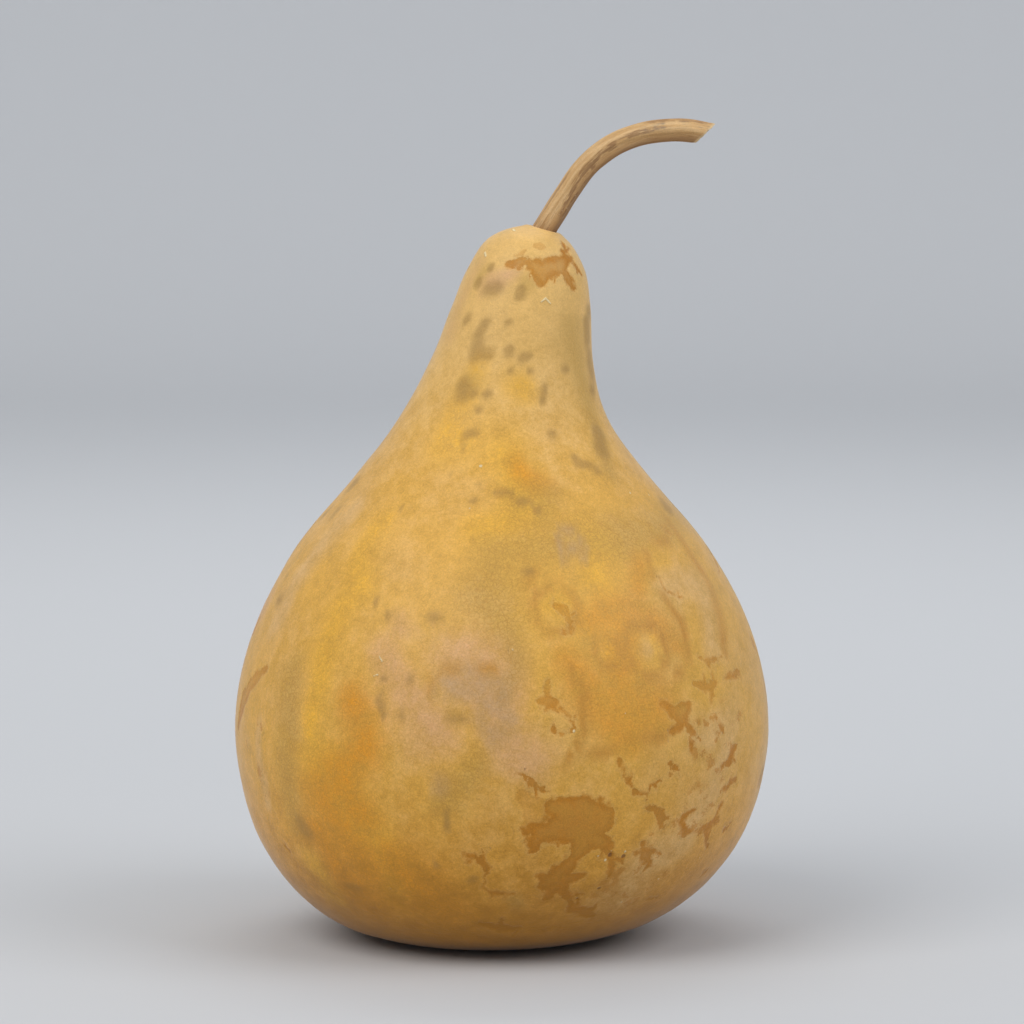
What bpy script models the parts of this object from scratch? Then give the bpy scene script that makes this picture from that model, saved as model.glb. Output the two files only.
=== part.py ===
"""Dried gourd: a pear-shaped hard-shell gourd that keeps its curved dry stem.

Metres, +Z up, front towards -Y. The gourd rests on a small flat spot, and the
origin is on the floor under the middle of the whole object's box.
"""
import math

import bmesh
import bpy
from mathutils import Vector

MM = 0.001

# The gourd's body, a round outline that leans: half width and height of each outline point.
BODY_OUTLINE = [
    (28.0 * MM, 0.0 * MM),  # edge of the flat spot
    (38.8 * MM, 1.2 * MM),
    (56.2 * MM, 7.4 * MM),
    (71.1 * MM, 19.2 * MM),
    (84.1 * MM, 39.7 * MM),
    (90.0 * MM, 70.0 * MM),  # belly, the widest place
    (84.8 * MM, 101.0 * MM),
    (69.5 * MM, 131.0 * MM),  # shoulder
    (50.0 * MM, 154.6 * MM),
    (35.0 * MM, 175.0 * MM),  # foot of the neck
    (27.0 * MM, 195.0 * MM),
    (23.0 * MM, 213.0 * MM),
    (19.4 * MM, 225.5 * MM),
    (12.7 * MM, 235.5 * MM),
    (0.0 * MM, 239.7 * MM),  # crown
]
DEPTH_SHARE = 0.985  # front to back, as a share of the width
NECK_LEAN = 8.2 * MM  # how far the crown stands to the right of the belly
LEAN_FROM = 168.0 * MM
LEAN_TO = 232.0 * MM
FLAT_SHIFT = 4.5 * MM  # how far the flat spot lies to the left of the belly
FLAT_SHIFT_FADE = 20.0 * MM
BODY_SIDES = 56
STEPS_PER_POINT = 3

# The stem leaves the crown's right slope, rises, and bends over to the right.
STEM_FOOT = Vector((13.2, 0.0, 236.9)) * MM
STEM_PATH = [
    STEM_FOOT,
    Vector((17.0, 0.0, 243.0)) * MM,
    Vector((21.5, 0.0, 250.0)) * MM,
    Vector((27.4, -0.2, 258.1)) * MM,
    Vector((35.7, -0.5, 265.2)) * MM,
    Vector((44.2, -0.9, 269.2)) * MM,
    Vector((53.2, -1.4, 271.0)) * MM,
    Vector((62.1, -1.9, 271.2)) * MM,
    Vector((72.0, -2.5, 269.4)) * MM,
]
STEM_RADIUS = 3.75 * MM
FOOT_SWELL = 0.3 * MM  # extra radius at the foot
FOOT_SWELL_FADE = 5.0 * MM
RIDGES = 5
RIDGE_SHARE = 0.06  # ridge height as a share of the radius
STEM_SIDES = 20
CUT_POINT = Vector((67.7, -2.2, 270.2)) * MM
CUT_NORMAL = Vector((0.69, -0.15, -0.72)).normalized()

GAP = 0.3 * MM  # between the stem's foot and its seat in the crown
SEAT_REACH = 12.0 * MM


def clear_scene():
    """Remove every object that the file opened with."""
    for thing in list(bpy.data.objects):
        bpy.data.objects.remove(thing)


def smooth_step(value, low, high):
    """Rise from 0 at low to 1 at high, flat at both ends."""
    share = min(max((value - low) / (high - low), 0.0), 1.0)
    return share * share * (3.0 - 2.0 * share)


def smooth_curve(points, before, after, steps):
    """Points of a centripetal Catmull-Rom curve through all the given points."""
    row = [before, *points, after]
    curve = []
    for a, b, c, d in zip(row, row[1:], row[2:], row[3:]):
        knot_b = math.sqrt((b - a).length)
        knot_c = knot_b + math.sqrt((c - b).length)
        knot_d = knot_c + math.sqrt((d - c).length)
        for step in range(steps):
            knot = knot_b + (knot_c - knot_b) * step / steps
            ab = a.lerp(b, knot / knot_b)
            bc = b.lerp(c, (knot - knot_b) / (knot_c - knot_b))
            cd = c.lerp(d, (knot - knot_c) / (knot_d - knot_c))
            abc = ab.lerp(bc, knot / knot_c)
            bcd = bc.lerp(cd, (knot - knot_b) / (knot_d - knot_b))
            curve.append(abc.lerp(bcd, (knot - knot_b) / (knot_c - knot_b)))
    curve.append(points[-1])
    return curve


def make_material(name, colour, roughness):
    """A Principled material of one colour."""
    material = bpy.data.materials.new(name)
    material.use_nodes = True
    shader = material.node_tree.nodes["Principled BSDF"]
    shader.inputs["Base Color"].default_value = (*colour, 1.0)
    shader.inputs["Roughness"].default_value = roughness
    shader.inputs["Metallic"].default_value = 0.0
    material.diffuse_color = (*colour, 1.0)
    return material


def finish_object(name, bm, material=None):
    """Turn a bmesh into a smooth-shaded object in the scene."""
    bmesh.ops.recalc_face_normals(bm, faces=bm.faces)
    mesh = bpy.data.meshes.new(name)
    bm.to_mesh(mesh)
    bm.free()
    mesh.shade_smooth()
    mesh.set_sharp_from_angle(angle=math.radians(35.0))
    thing = bpy.data.objects.new(name, mesh)
    bpy.context.scene.collection.objects.link(thing)
    if material is not None:
        mesh.materials.append(material)
    return thing


def body_centre(height):
    """Sideways place of the body's middle at this height."""
    lean = NECK_LEAN * smooth_step(height, LEAN_FROM, LEAN_TO)
    return lean - FLAT_SHIFT * math.exp(-height / FLAT_SHIFT_FADE)


def make_body():
    """Spin the outline into a closed body, then lean it and flatten it a little."""
    corners = [Vector((half_width, 0.0, height)) for half_width, height in BODY_OUTLINE]
    below = corners[0] * 2.0 - corners[1]
    beyond = Vector((-corners[-2].x, 0.0, corners[-2].z))
    outline = smooth_curve(corners, Vector((below.x, 0.0, 0.0)), beyond, STEPS_PER_POINT)

    bm = bmesh.new()
    verts = [bm.verts.new(place) for place in outline]
    edges = [bm.edges.new(pair) for pair in zip(verts, verts[1:])]
    bmesh.ops.spin(bm, geom=verts + edges, cent=(0, 0, 0), axis=(0, 0, 1), angle=math.tau,
                   steps=BODY_SIDES, use_merge=True)
    bmesh.ops.remove_doubles(bm, verts=bm.verts, dist=0.001 * MM)
    bmesh.ops.holes_fill(bm, edges=bm.edges, sides=0)
    for vert in bm.verts:
        vert.co.x += body_centre(vert.co.z)
        vert.co.y *= DEPTH_SHARE
    return finish_object("gourd_body", bm, make_material("gourd_skin", (0.60, 0.37, 0.11), 0.5))


def stem_ring(bm, centre, along, radius):
    """One ridged ring of the stem, square to its path; returns its edges."""
    side = Vector((0.0, 1.0, 0.0))
    up = along.cross(side).normalized()
    side = up.cross(along).normalized()
    verts = []
    for number in range(STEM_SIDES):
        angle = math.tau * number / STEM_SIDES
        ridged = radius * (1.0 + RIDGE_SHARE * math.cos(RIDGES * angle))
        verts.append(bm.verts.new(centre + (side * math.cos(angle) + up * math.sin(angle)) * ridged))
    return [bm.edges.new((a, b)) for a, b in zip(verts, verts[1:] + verts[:1])]


def make_stem():
    """Bridge ridged rings along the stem's path, then cut its end off at a slant."""
    before = STEM_PATH[0] * 2.0 - STEM_PATH[1]
    after = STEM_PATH[-1] * 2.0 - STEM_PATH[-2]
    path = smooth_curve(STEM_PATH, before, after, 2)

    bm = bmesh.new()
    rings = []
    travelled = 0.0
    for number, place in enumerate(path):
        ahead = path[min(number + 1, len(path) - 1)]
        behind = path[max(number - 1, 0)]
        travelled += (place - behind).length
        radius = STEM_RADIUS + FOOT_SWELL * math.exp(-travelled / FOOT_SWELL_FADE)
        rings.append(stem_ring(bm, place, (ahead - behind).normalized(), radius))
    for lower, upper in zip(rings, rings[1:]):
        bmesh.ops.bridge_loops(bm, edges=lower + upper)
    everything = list(bm.verts) + list(bm.edges) + list(bm.faces)
    bmesh.ops.bisect_plane(bm, geom=everything, plane_co=CUT_POINT, plane_no=CUT_NORMAL,
                           clear_outer=True)
    bmesh.ops.holes_fill(bm, edges=bm.edges, sides=0)
    return finish_object("stem", bm, make_material("stem_wood", (0.28, 0.18, 0.09), 0.75))


def cut_seat(body):
    """Sink a shallow round seat into the crown, for the stem's foot to stand in."""
    axis = (STEM_PATH[1] - STEM_PATH[0]).normalized()
    radius = (STEM_RADIUS + FOOT_SWELL) * (1.0 + RIDGE_SHARE) + GAP
    bm = bmesh.new()
    bmesh.ops.create_cone(bm, cap_ends=True, segments=32, radius1=radius, radius2=radius,
                          depth=SEAT_REACH)
    turn = axis.to_track_quat("Z", "Y").to_matrix()
    bmesh.ops.rotate(bm, cent=(0, 0, 0), matrix=turn, verts=bm.verts)
    bmesh.ops.translate(bm, vec=STEM_FOOT + axis * (SEAT_REACH / 2.0 - GAP), verts=bm.verts)
    cutter = finish_object("seat_cutter", bm)
    cutter.hide_render = True
    cutter.display_type = "WIRE"
    seat = body.modifiers.new("stem_seat", "BOOLEAN")
    seat.operation = "DIFFERENCE"
    seat.solver = "EXACT"
    seat.object = cutter
    return cutter


def centre_on_floor(visible, everything):
    """Slide all the meshes so that the visible ones' box is centred over the origin."""
    places = [vert.co for thing in visible for vert in thing.data.vertices]
    middle_x = (min(p.x for p in places) + max(p.x for p in places)) / 2.0
    middle_y = (min(p.y for p in places) + max(p.y for p in places)) / 2.0
    for thing in everything:
        for vert in thing.data.vertices:
            vert.co -= Vector((middle_x, middle_y, 0.0))


def main():
    clear_scene()
    body = make_body()
    stem = make_stem()
    cutter = cut_seat(body)
    centre_on_floor([body, stem], [body, stem, cutter])


main()
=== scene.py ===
"""Dried gourd: its mottled skin, its dry stem and a small pale studio."""
import math

import bmesh
import bpy
import numpy as np
from bpy.props import FloatProperty, FloatVectorProperty, PointerProperty
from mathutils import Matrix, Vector, noise


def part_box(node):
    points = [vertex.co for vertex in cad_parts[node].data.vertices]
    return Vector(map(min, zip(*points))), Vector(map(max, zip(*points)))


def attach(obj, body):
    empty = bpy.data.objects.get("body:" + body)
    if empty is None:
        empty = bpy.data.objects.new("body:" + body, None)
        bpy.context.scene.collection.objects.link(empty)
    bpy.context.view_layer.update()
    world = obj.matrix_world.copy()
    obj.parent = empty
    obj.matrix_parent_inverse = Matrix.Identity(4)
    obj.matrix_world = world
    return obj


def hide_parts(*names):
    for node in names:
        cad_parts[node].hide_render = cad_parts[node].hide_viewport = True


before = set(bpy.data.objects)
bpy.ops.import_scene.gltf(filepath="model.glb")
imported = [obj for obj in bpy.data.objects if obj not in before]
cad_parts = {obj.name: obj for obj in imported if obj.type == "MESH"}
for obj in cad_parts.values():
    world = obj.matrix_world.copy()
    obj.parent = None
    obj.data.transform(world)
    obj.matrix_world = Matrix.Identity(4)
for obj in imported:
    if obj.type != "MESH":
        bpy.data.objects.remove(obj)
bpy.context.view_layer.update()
BODY_LOW, BODY_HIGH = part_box("gourd_body")
STEM_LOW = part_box("stem")[0]

bl_info = {
    "name": "Dried Gourd",
    "version": (1, 0, 0),
    "blender": (4, 5, 0),
    "location": "3D View > Sidebar > Gourd",
    "description": "Models a dried gourd with its stem, and a studio to look at it in",
    "category": "Object",
}

MM = 0.001

# The body's outline: half width as a share of the belly's, height as a share of the crown's.
OUTLINE = [
    (0.311, 0.000),  # edge of the flat spot
    (0.431, 0.005),
    (0.624, 0.031),
    (0.790, 0.080),
    (0.934, 0.166),
    (1.000, 0.292),  # belly
    (0.942, 0.421),
    (0.772, 0.547),  # shoulder
    (0.556, 0.645),
    (0.389, 0.730),  # foot of the neck
    (0.300, 0.814),
    (0.256, 0.889),
    (0.216, 0.941),
    (0.141, 0.983),
    (0.000, 1.000),  # crown
]
BODY_SIDES = 64

# The stem's middle line, in millimetres from the low corner of its box.
STEM_PATH = [
    (2.8, 5.8, 1.3),  # foot, sunk in the crown
    (7.1, 5.8, 8.3),
    (11.6, 5.8, 15.3),
    (17.5, 5.6, 23.4),
    (25.8, 5.3, 30.5),
    (34.3, 4.9, 34.5),
    (43.3, 4.4, 36.3),
    (52.2, 3.9, 36.5),
    (62.1, 3.3, 34.7),
]
STEM_SIDES = 24
STEM_ROWS = 31
CUT_PLACE = (57.8, 3.6, 35.5)  # from the same corner
CUT_SLANT = (0.69, 0.04, -0.72)
SIDEWAYS = np.array((0.0, 1.0, 0.0))  # square to the plane that the stem bends in

# The seeds make the random shapes the same on every run.
WANDER_SEED = 3
MARKS_SEED = 11

# In millimetres
UNDERSIDE = 0.05  # whatever is lower belongs to the flat spot
BELLY_WIDTH = 80.0  # a usual half width of the body's lower part, for marks
NECK_WIDTH = 26.0

# Marks on the skin are strokes of (turn, height, half width): the turn in degrees from the
# front towards the right, the rest in millimetres. A stroke of one point is a round spot.

YELLOW = [
    [(-42, 146, 5), (-40, 130, 7), (-44, 108, 6), (-43, 91, 6), (-43, 78, 5), (-39, 65, 7)],
    [(-34, 57, 9), (-27, 42, 8), (-24, 30, 6)], [(-50, 30, 6), (-46, 22, 6)], [(8, 188, 5)],
    [(-22, 194, 4), (-26, 180, 5), (-22, 169, 8)],
    [(-1, 164, 9), (2, 158, 6), (6, 150, 8), (-6, 145, 7)], [(48, 129, 3)],
    [(28, 140, 8), (24, 127, 5)], [(34, 106, 6)], [(24, 105.5, 2.5)], [(13, 120, 4)],
    [(120, 150, 7), (126, 118, 9), (122, 84, 8), (132, 56, 8)],
    [(-150, 170, 8), (-140, 140, 10), (-146, 104, 8)], [(168, 96, 12), (176, 70, 10)],
    [(-104, 60, 8), (-98, 38, 8)],
]
BROWN = [
    [(-33, 90, 5), (-29, 76, 7), (-35, 64, 8), (-31, 53, 6)],
    [(-24, 38, 9), (-18, 28, 9), (-14, 20, 7)], [(-44, 46, 7), (-42, 34, 7), (-36, 24, 7)],
    [(-40, 58, 8), (-36, 46, 9), (-32, 34, 8)],
    [(26, 84, 10), (35, 87, 8), (26, 95, 7), (28, 112, 5)], [(6, 162, 5), (14, 156, 4)],
    [(40, 134, 4), (34, 124, 4)], [(20, 113, 5), (30, 119, 6), (40, 114, 5), (44, 105, 4)],
    [(14, 102, 4), (20, 92, 6), (26, 76, 5)], [(104, 90, 12), (112, 66, 9)],
    [(-120, 92, 9), (-126, 70, 8), (-118, 50, 7)], [(150, 34, 10), (162, 26, 8)],
    [(-170, 120, 8), (-164, 100, 8)],
    [(60, 8, 9), (95, 6, 8), (150, 5, 9), (-140, 6, 8), (-90, 7, 9), (-40, 6, 7)],
]
PINK = [
    [(-26, 104, 5), (-20, 91, 8), (-15, 80, 7)], [(-6, 97, 8), (0, 84, 9), (5, 74, 8)],
    [(-24, 112, 4)], [(-11, 106, 7), (-2, 104, 7), (2, 94, 6)], [(-30, 219, 3), (-10, 222, 3)],
    [(140, 108, 9), (148, 90, 8)], [(-84, 112, 7), (-92, 92, 6)],
]
OLIVE = [
    [(-53, 100, 3), (-51, 80, 5), (-51, 63, 5), (-51, 44, 4)], [(13, 146, 4), (15, 154, 5)],
    [(1, 138, 7), (-3, 125, 8), (1, 112, 6), (2, 102, 4), (-1, 95, 3)], [(4, 152, 6)],
    [(-10, 58, 5), (-5, 73, 4)], [(4, 24, 4)], [(62, 172, 4), (52, 160, 4)], [(-25, 188, 4)],
    [(4, 218, 3)], [(44, 206, 5), (54, 192, 5), (58, 178, 5)], [(-44, 222, 3)],
    [(96, 132, 6), (90, 110, 5)], [(176, 150, 7), (-176, 124, 6)], [(-132, 36, 7), (-128, 22, 5)],
]
# Pale film; the first four strokes, along the left edge (turns of -60 to -69 degrees), are a
# painted sheen, the grey veil of grazing light
PALE = [
    [(-62, 76, 3), (-62, 54, 3)], [(-60, 150, 4), (-63, 130, 5), (-66, 110, 4)],
    [(-60, 226, 3), (-62, 205, 3)], [(-69, 71, 2)], [(45, 125, 4), (60, 119, 8), (57, 105, 6)],
    [(33, 106.5, 3)], [(32, 24, 9), (42, 42, 8), (51, 60, 8), (58, 80, 8), (46, 74, 6)],
    [(84, 60, 14), (88, 84, 10)], [(-112, 128, 7), (-104, 144, 6)], [(158, 58, 9), (168, 44, 8)],
]
BRUISE = [
    [(-14, 94, 2), (-11, 98, 3), (-6, 99.5, 3.4), (-2, 97, 3), (0, 92, 3), (-4, 89, 3)],
    [(-10, 93, 3), (-5, 95, 3)], [(-5, 86, 2.4), (-2, 81, 3.4), (2, 86, 3)], [(20, 137, 3)],
    [(-12, 65, 3)], [(118, 166, 4), (124, 160, 3)], [(-158, 84, 6), (-152, 78, 4)],
]
HALOES = [
    [(15, 100, 1.3), (18, 92, 1.5), (17.5, 81, 1.3), (13, 71, 1.4)],
    [(14, 71, 1.3), (20, 73, 1.3), (26, 76, 1.5), (33, 77, 1.3), (38, 80, 1.2)],
    [(66, 143, 1.6), (64, 133, 2.4), (66, 122, 2), (64, 112, 3.4), (60, 102, 2)],
    [(43, 128, 1.2), (45, 135, 1.3), (56, 137, 1.3), (62, 141, 1)],
    [(44, 122, 1.5), (47, 112, 1.6), (46, 100, 1.5), (40, 95, 1.3)], [(7, 128, 2), (9, 132, 1.2)],
    [(-16, 93, 1), (-14, 99, 1.2), (-8, 103, 1.3), (-2, 101, 1.2)],
]
HALO_RINGS = [(24, 105.5, 4.8), (34, 106, 8.2), (13, 119, 7.5), (-136, 112, 9), (150, 130, 6.5)]
MOULD = [
    [(-38, 226, 1.4)], [(-34, 219, 2.6), (-26, 219.5, 2.8)], [(-48, 221, 2)],
    [(-3, 219, 1.6), (-3, 217, 1.8)], [(-47, 209, 2)],
    [(-27, 208, 2), (-32, 203.5, 2.2), (-27, 198, 3.2), (-19, 198, 2.6)], [(-9, 208, 1.6)],
    [(-3, 199, 2)], [(8, 197, 2.4), (12, 198, 1.6)], [(14, 192, 1.3)], [(0, 192, 1.2)],
    [(68, 208, 2.6), (70, 202, 3)], [(74, 196, 3.4), (76, 190, 3.4)], [(70, 185, 2.6)],
    [(40, 193, 1.8)], [(60, 172, 3), (54, 166, 3.4)], [(-30, 188, 2.6), (-27, 184.5, 3.2)],
    [(-21, 185, 2.2)], [(-12, 185, 1.9)], [(-15, 180, 1.4)], [(24, 187, 1.5), (23, 183, 1.5)],
    [(-20, 171, 1.6), (-14, 173, 1.8)], [(27, 172, 2)], [(34, 164, 1.8), (43, 160.5, 2)],
    [(-19, 167, 0.7)], [(-22, 160, 0.7)], [(-9, 156, 1), (-5, 156, 1)], [(-10, 152, 1.7)],
    [(-2, 154.5, 1.2), (3, 154, 1.5)], [(6, 151.5, 1.5), (10, 152.5, 1.6)], [(12, 149, 1.4)],
    [(-9, 141, 1.2)], [(-15, 144, 0.9)], [(-33, 150, 1.3)], [(-37, 149, 0.7)], [(-25, 139, 0.9)],
    [(-35, 119, 0.7)], [(-32, 120, 0.7)], [(-28, 117, 1.5)], [(-17, 117, 2), (-15, 116.5, 2)],
    [(-20, 96, 1.6)], [(-26, 97, 1.3)], [(-26, 92, 1.4), (-26, 88, 1.5), (-25, 84, 1.3)],
    [(-21, 87, 1.8)], [(-22, 85, 1)], [(-11, 87, 2), (-8, 85.5, 2)], [(-11, 55, 1), (-11, 49, 1.2)],
    [(7, 131, 2.2)], [(-14, 38, 1.3)], [(-6, 32, 1.8)], [(-40, 26, 1.8), (-36, 25.5, 1.8)],
    [(-49, 46, 3), (-47, 43, 2.6)], [(58, 139, 1)],
]

# Patches where the film is gone on the sides and back: (turn, height, size).
PATCHES_BEHIND = [(112, 36, 7), (196, 62, 9), (244, 30, 6), (150, 205, 3), (262, 84, 5)]

# Where the outer film has come off and the skin shows darker: patches, then small tears.
PEEL = [
    [(11, 57, 3.2), (16.5, 54, 6.8), (21.5, 52, 5), (24, 52, 1.3)],
    [(14.5, 50, 5.6), (9, 49, 3.4), (5, 49.5, 1.5)], [(8.5, 48, 3.4), (6.5, 43, 1.5)],
    [(17.5, 47.5, 4.6), (22.5, 44.5, 2.8), (25, 42, 0.9)],
    [(18, 45.5, 4), (16.5, 38.5, 2.4), (13, 33, 3.4), (11, 30.5, 3)],
    [(9.5, 33.5, 1.5), (14, 32, 3.2), (19.5, 32.5, 1)], [(14, 30, 3), (11.5, 25, 1.2)],
    [(14.5, 29.5, 2.4), (17.5, 25, 1.2), (20, 20, 1.6), (25, 18.5, 2.3), (27.5, 17, 0.7)],
    [(17.5, 24.5, 0.8), (21, 26, 0.8)], [(-4, 15.5, 0.8), (2.5, 13, 2.3), (7.5, 13.5, 0.8)],
    [(-19, 227.5, 1), (-8, 227.5, 1.8), (-1.5, 229.5, 1)],
    [(1.5, 228, 1.3), (16, 225.5, 3.7), (36.5, 227, 3.4), (55, 229, 1.6)],
    [(16, 223, 2.8), (17.5, 220.5, 1)], [(50, 231, 1.4), (63, 232, 0.7)],
    [(40, 225, 2), (45, 221.5, 1.9), (50.5, 219.5, 1.2)],
    [(58, 227.5, 1), (63.5, 225, 1), (66, 223, 0.4)],
    [(49, 101, 0.4), (52.5, 99, 1), (52.5, 96.5, 0.6), (52.5, 94, 0.4)],
    [(52.5, 99, 0.9), (58, 99.5, 0.4)], [(45.5, 93, 0.9), (50.5, 91.5, 1.9), (53.5, 93, 0.9)],
    [(51, 91, 1.1), (50.5, 86, 0.4)], [(57, 93.5, 0.9), (64, 93.5, 1.3)],
    [(36, 88, 0.9), (40.5, 84, 3.4), (43.5, 87, 1.1)], [(41, 82, 2.4), (38, 78.5, 1)],
    [(41.5, 82, 1.6), (44, 77, 0.6), (46, 75, 0.4)],
    [(51.5, 81, 0.4), (52.5, 78, 0.5), (54, 75.5, 0.4)], [(42.5, 75, 0.4), (43, 72, 0.6)],
    [(36.5, 68.5, 0.7), (39, 67, 0.9), (40, 64, 0.4)], [(25, 71, 0.7), (26, 66.5, 0.7)],
    [(26.5, 65.5, 0.5), (29, 60, 0.7), (32.5, 59, 0.4)],
    [(32, 59.5, 0.4), (32.5, 62.5, 0.4), (35, 63.5, 0.4)],
    [(31.5, 54.5, 0.6), (35, 53.5, 1.1), (36.5, 50, 1.6), (38.5, 50.5, 0.9)],
    [(36.5, 49.5, 1.1), (37, 47.5, 0.7)], [(42, 48.5, 0.9), (43, 50, 1.5), (45.5, 52, 0.7)],
    [(42.5, 47.5, 0.9), (44.5, 44, 1.3), (46, 45, 0.7)],
    [(48, 45, 0.7), (52, 44, 1.8), (54, 47, 0.9), (55.5, 53, 0.4)],
    [(52, 43.5, 1.6), (55, 37.5, 0.7)], [(53.5, 44.5, 0.9), (56.5, 46, 0.4)],
    [(55.5, 65, 1.1), (58, 70, 1.6)], [(53.5, 65, 0.7), (55.5, 65.5, 0.9)],
    [(57.5, 58.5, 1.5), (59.5, 59.5, 1.1)], [(57.5, 57.5, 0.9), (53.5, 56, 0.4)],
    [(33, 42, 1.1), (34.5, 38, 2.4), (36.5, 34.5, 0.9)], [(34, 39.5, 1.3), (39, 38.5, 0.4)],
    [(33, 40.5, 1.3), (31.5, 39.5, 0.7)],
    [(22, 43.5, 1.3), (25, 39.5, 1.6), (26.5, 34, 1.3), (25.5, 33, 0.7)],
    [(25.5, 38, 1.1), (28.5, 38, 0.6)], [(-7, 41.5, 0.6), (-4.5, 39.5, 1.3), (-2.5, 42, 0.6)],
    [(-4, 39.5, 1.5), (-3, 36, 1.3), (-2.5, 34.5, 0.6)],
    [(-3, 32, 0.5), (-3.5, 29.5, 0.9), (0, 27, 0.5), (4, 27, 0.4)],
    [(3.5, 68.5, 0.6), (6, 66, 0.8), (7.5, 63.5, 0.5), (9.5, 62.5, 0.4)],
    [(13, 121, 0.7), (15, 119, 1.6), (16, 116.5, 1), (16.5, 112.5, 0.7), (14.5, 111.5, 0.4)],
    [(8, 90.5, 0.9), (10, 90.5, 2.3), (11.5, 90.5, 1.1)],
    [(10, 92, 1.1), (9, 95, 0.6), (10, 98, 0.4)],
    [(11, 82, 0.4), (12.5, 80.5, 0.6), (15, 82.5, 0.5), (14, 86, 0.4), (12, 88.5, 0.4)],
    [(45, 125, 0.4), (46, 122, 0.6), (50.5, 120, 0.6)],
    [(-63, 95, 0.5), (-69, 91, 2.6), (-74, 83, 3.2), (-77, 74, 2)],
    [(-59, 37.5, 0.4), (-57.5, 34.5, 0.4)], [(60, 43, 0.7), (63, 44, 0.6)],
    [(62.5, 27.5, 0.6), (61, 25.5, 0.4)], [(42.5, 21.5, 0.5), (46, 21, 0.4)],
]
FAINT_PEEL = [
    [(4, 61, 2.2), (7.5, 56, 4.4), (6, 51, 3)], [(12, 24, 2.4)], [(9, 233, 0.8), (18, 233, 1.3)],
    [(-11, 230, 0.8), (-3, 232, 0.8)],
]
CRUMBS = [
    [(16, 215, 0.2), (19.5, 216.2, 0.3), (24, 214.5, 0.2)], [(-40, 238.5, 0.5), (-28, 238, 0.3)],
    [(-57, 231, 0.4), (-52, 230, 0.4)], [(-28, 104, 0.2), (-27, 102.2, 0.3)],
    [(-28.5, 97.5, 0.2), (-27.6, 98, 0.3)], [(-11, 149.5, 0.25)], [(55, 152.5, 0.4)],
    [(67, 151, 0.4)], [(2.5, 107, 0.3)], [(26.5, 86, 0.3)], [(15, 81.5, 0.4)], [(22, 39.5, 0.3)],
    [(24, 38, 0.3)], [(25, 41, 0.3)], [(28.5, 40.5, 0.3)], [(-9, 162.5, 0.4)], [(41.5, 29, 0.4)],
    [(53.5, 34, 0.35)], [(-26.5, 27.5, 0.4)], [(33.5, 21.5, 0.4)],
]
PITS = [
    (25, 39.5, 0.8), (28.5, 38.8, 0.8), (25, 27.5, 0.6), (20, 24, 0.5), (-100, 70, 0.7),
    (140, 50, 0.8),
]


# Sizes and colours that a user would change


def length(name, description, millimetres):
    """A length property."""
    return FloatProperty(name=name, description=description, default=millimetres * MM,
                         unit="LENGTH")


class GourdShape(bpy.types.PropertyGroup):
    """Sizes of the body; its width, depth and height come from the frame."""

    neck_lean: length("Neck lean", "How far the crown stands to the right of the belly", 8.2)
    lean_from: length("Lean from", "Height at which the neck starts to lean", 168)
    lean_to: length("Lean to", "Height at which the lean is complete", 232)
    flat_shift: length("Flat shift", "How far the flat spot lies to the left of the belly", 4.5)
    flat_fade: length("Flat fade", "Height over which the flat spot's shift fades", 20)
    swell: length("Swell", "Depth of the body's slow bumps and hollows", 0.35)
    film: length("Film thickness", "Depth of the patches where the outer film is gone", 0.13)


class StemShape(bpy.types.PropertyGroup):
    """Sizes of the stem."""

    radius: length("Radius", "Half the stem's thickness", 3.75)
    foot_swell: length("Foot swell", "How much thicker the stem's foot is", 0.35)
    ridge: length("Ridge height", "Height of the five long ridges", 0.24)


def tone(name, red, green, blue):
    """A colour property."""
    return FloatVectorProperty(name=name, description=f"Colour of the {name.lower()}",
                               subtype="COLOR", default=(red, green, blue))


class GourdColours(bpy.types.PropertyGroup):
    """Colours of the skin and of the stem."""

    ochre: tone("Ochre ground", 0.7, 0.385, 0.066)
    # also the painted sheen along the body's left edge
    straw: tone("Pale straw film and painted sheen", 0.66, 0.40, 0.145)
    neck: tone("Neck", 0.76, 0.49, 0.18)
    yellow: tone("Yellow bloom", 0.74, 0.4, 0.042)
    brown: tone("Orange-brown flush", 0.65, 0.275, 0.017)
    ring: tone("Ring stains", 0.5, 0.235, 0.035)
    pink: tone("Beige flush", 0.61, 0.345, 0.17)
    olive: tone("Olive shade", 0.43, 0.265, 0.06)
    vein: tone("Fine veins", 0.45, 0.205, 0.032)
    grey: tone("Grey bruise", 0.42, 0.275, 0.15)
    mould: tone("Mould spots", 0.31, 0.178, 0.05)
    bare: tone("Bare skin", 0.46, 0.182, 0.011)
    crumb: tone("White crumbs", 0.8, 0.66, 0.38)
    wood: tone("Stem wood", 0.56, 0.33, 0.13)
    wood_pale: tone("Pale fibres", 0.74, 0.50, 0.25)
    wood_dark: tone("Dark grooves and painted shade", 0.20, 0.088, 0.028)
    wood_grey: tone("Grey weathering", 0.20, 0.165, 0.125)
    # painted shade, laid over the skin's lowest part
    painted_underside_shade: tone("Painted underside shade", 0.38, 0.165, 0.007)
    pith: tone("Pith", 0.60, 0.45, 0.26)


class GourdStudio(bpy.types.PropertyGroup):
    """The camera, the lights and the floor."""

    distance: length("Camera distance", "From the lens to the gourd", 1500)
    elevation: FloatProperty(
        name="Camera elevation", description="How far the camera looks down",
        default=math.radians(5.5), subtype="ANGLE",
    )
    lens: FloatProperty(
        name="Lens", description="Focal length in millimetres", default=156.75, unit="CAMERA",
    )
    floor: FloatVectorProperty(
        name="Floor", description="Colour of the floor and its rim", subtype="COLOR",
        default=(0.56, 0.57, 0.59),
    )


# The body's outline and centre line


def smooth_step(value, low, high):
    """Rise from 0 at low to 1 at high, flat at both ends."""
    share = np.clip((value - low) / (high - low), 0.0, 1.0)
    return share * share * (3.0 - 2.0 * share)


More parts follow.
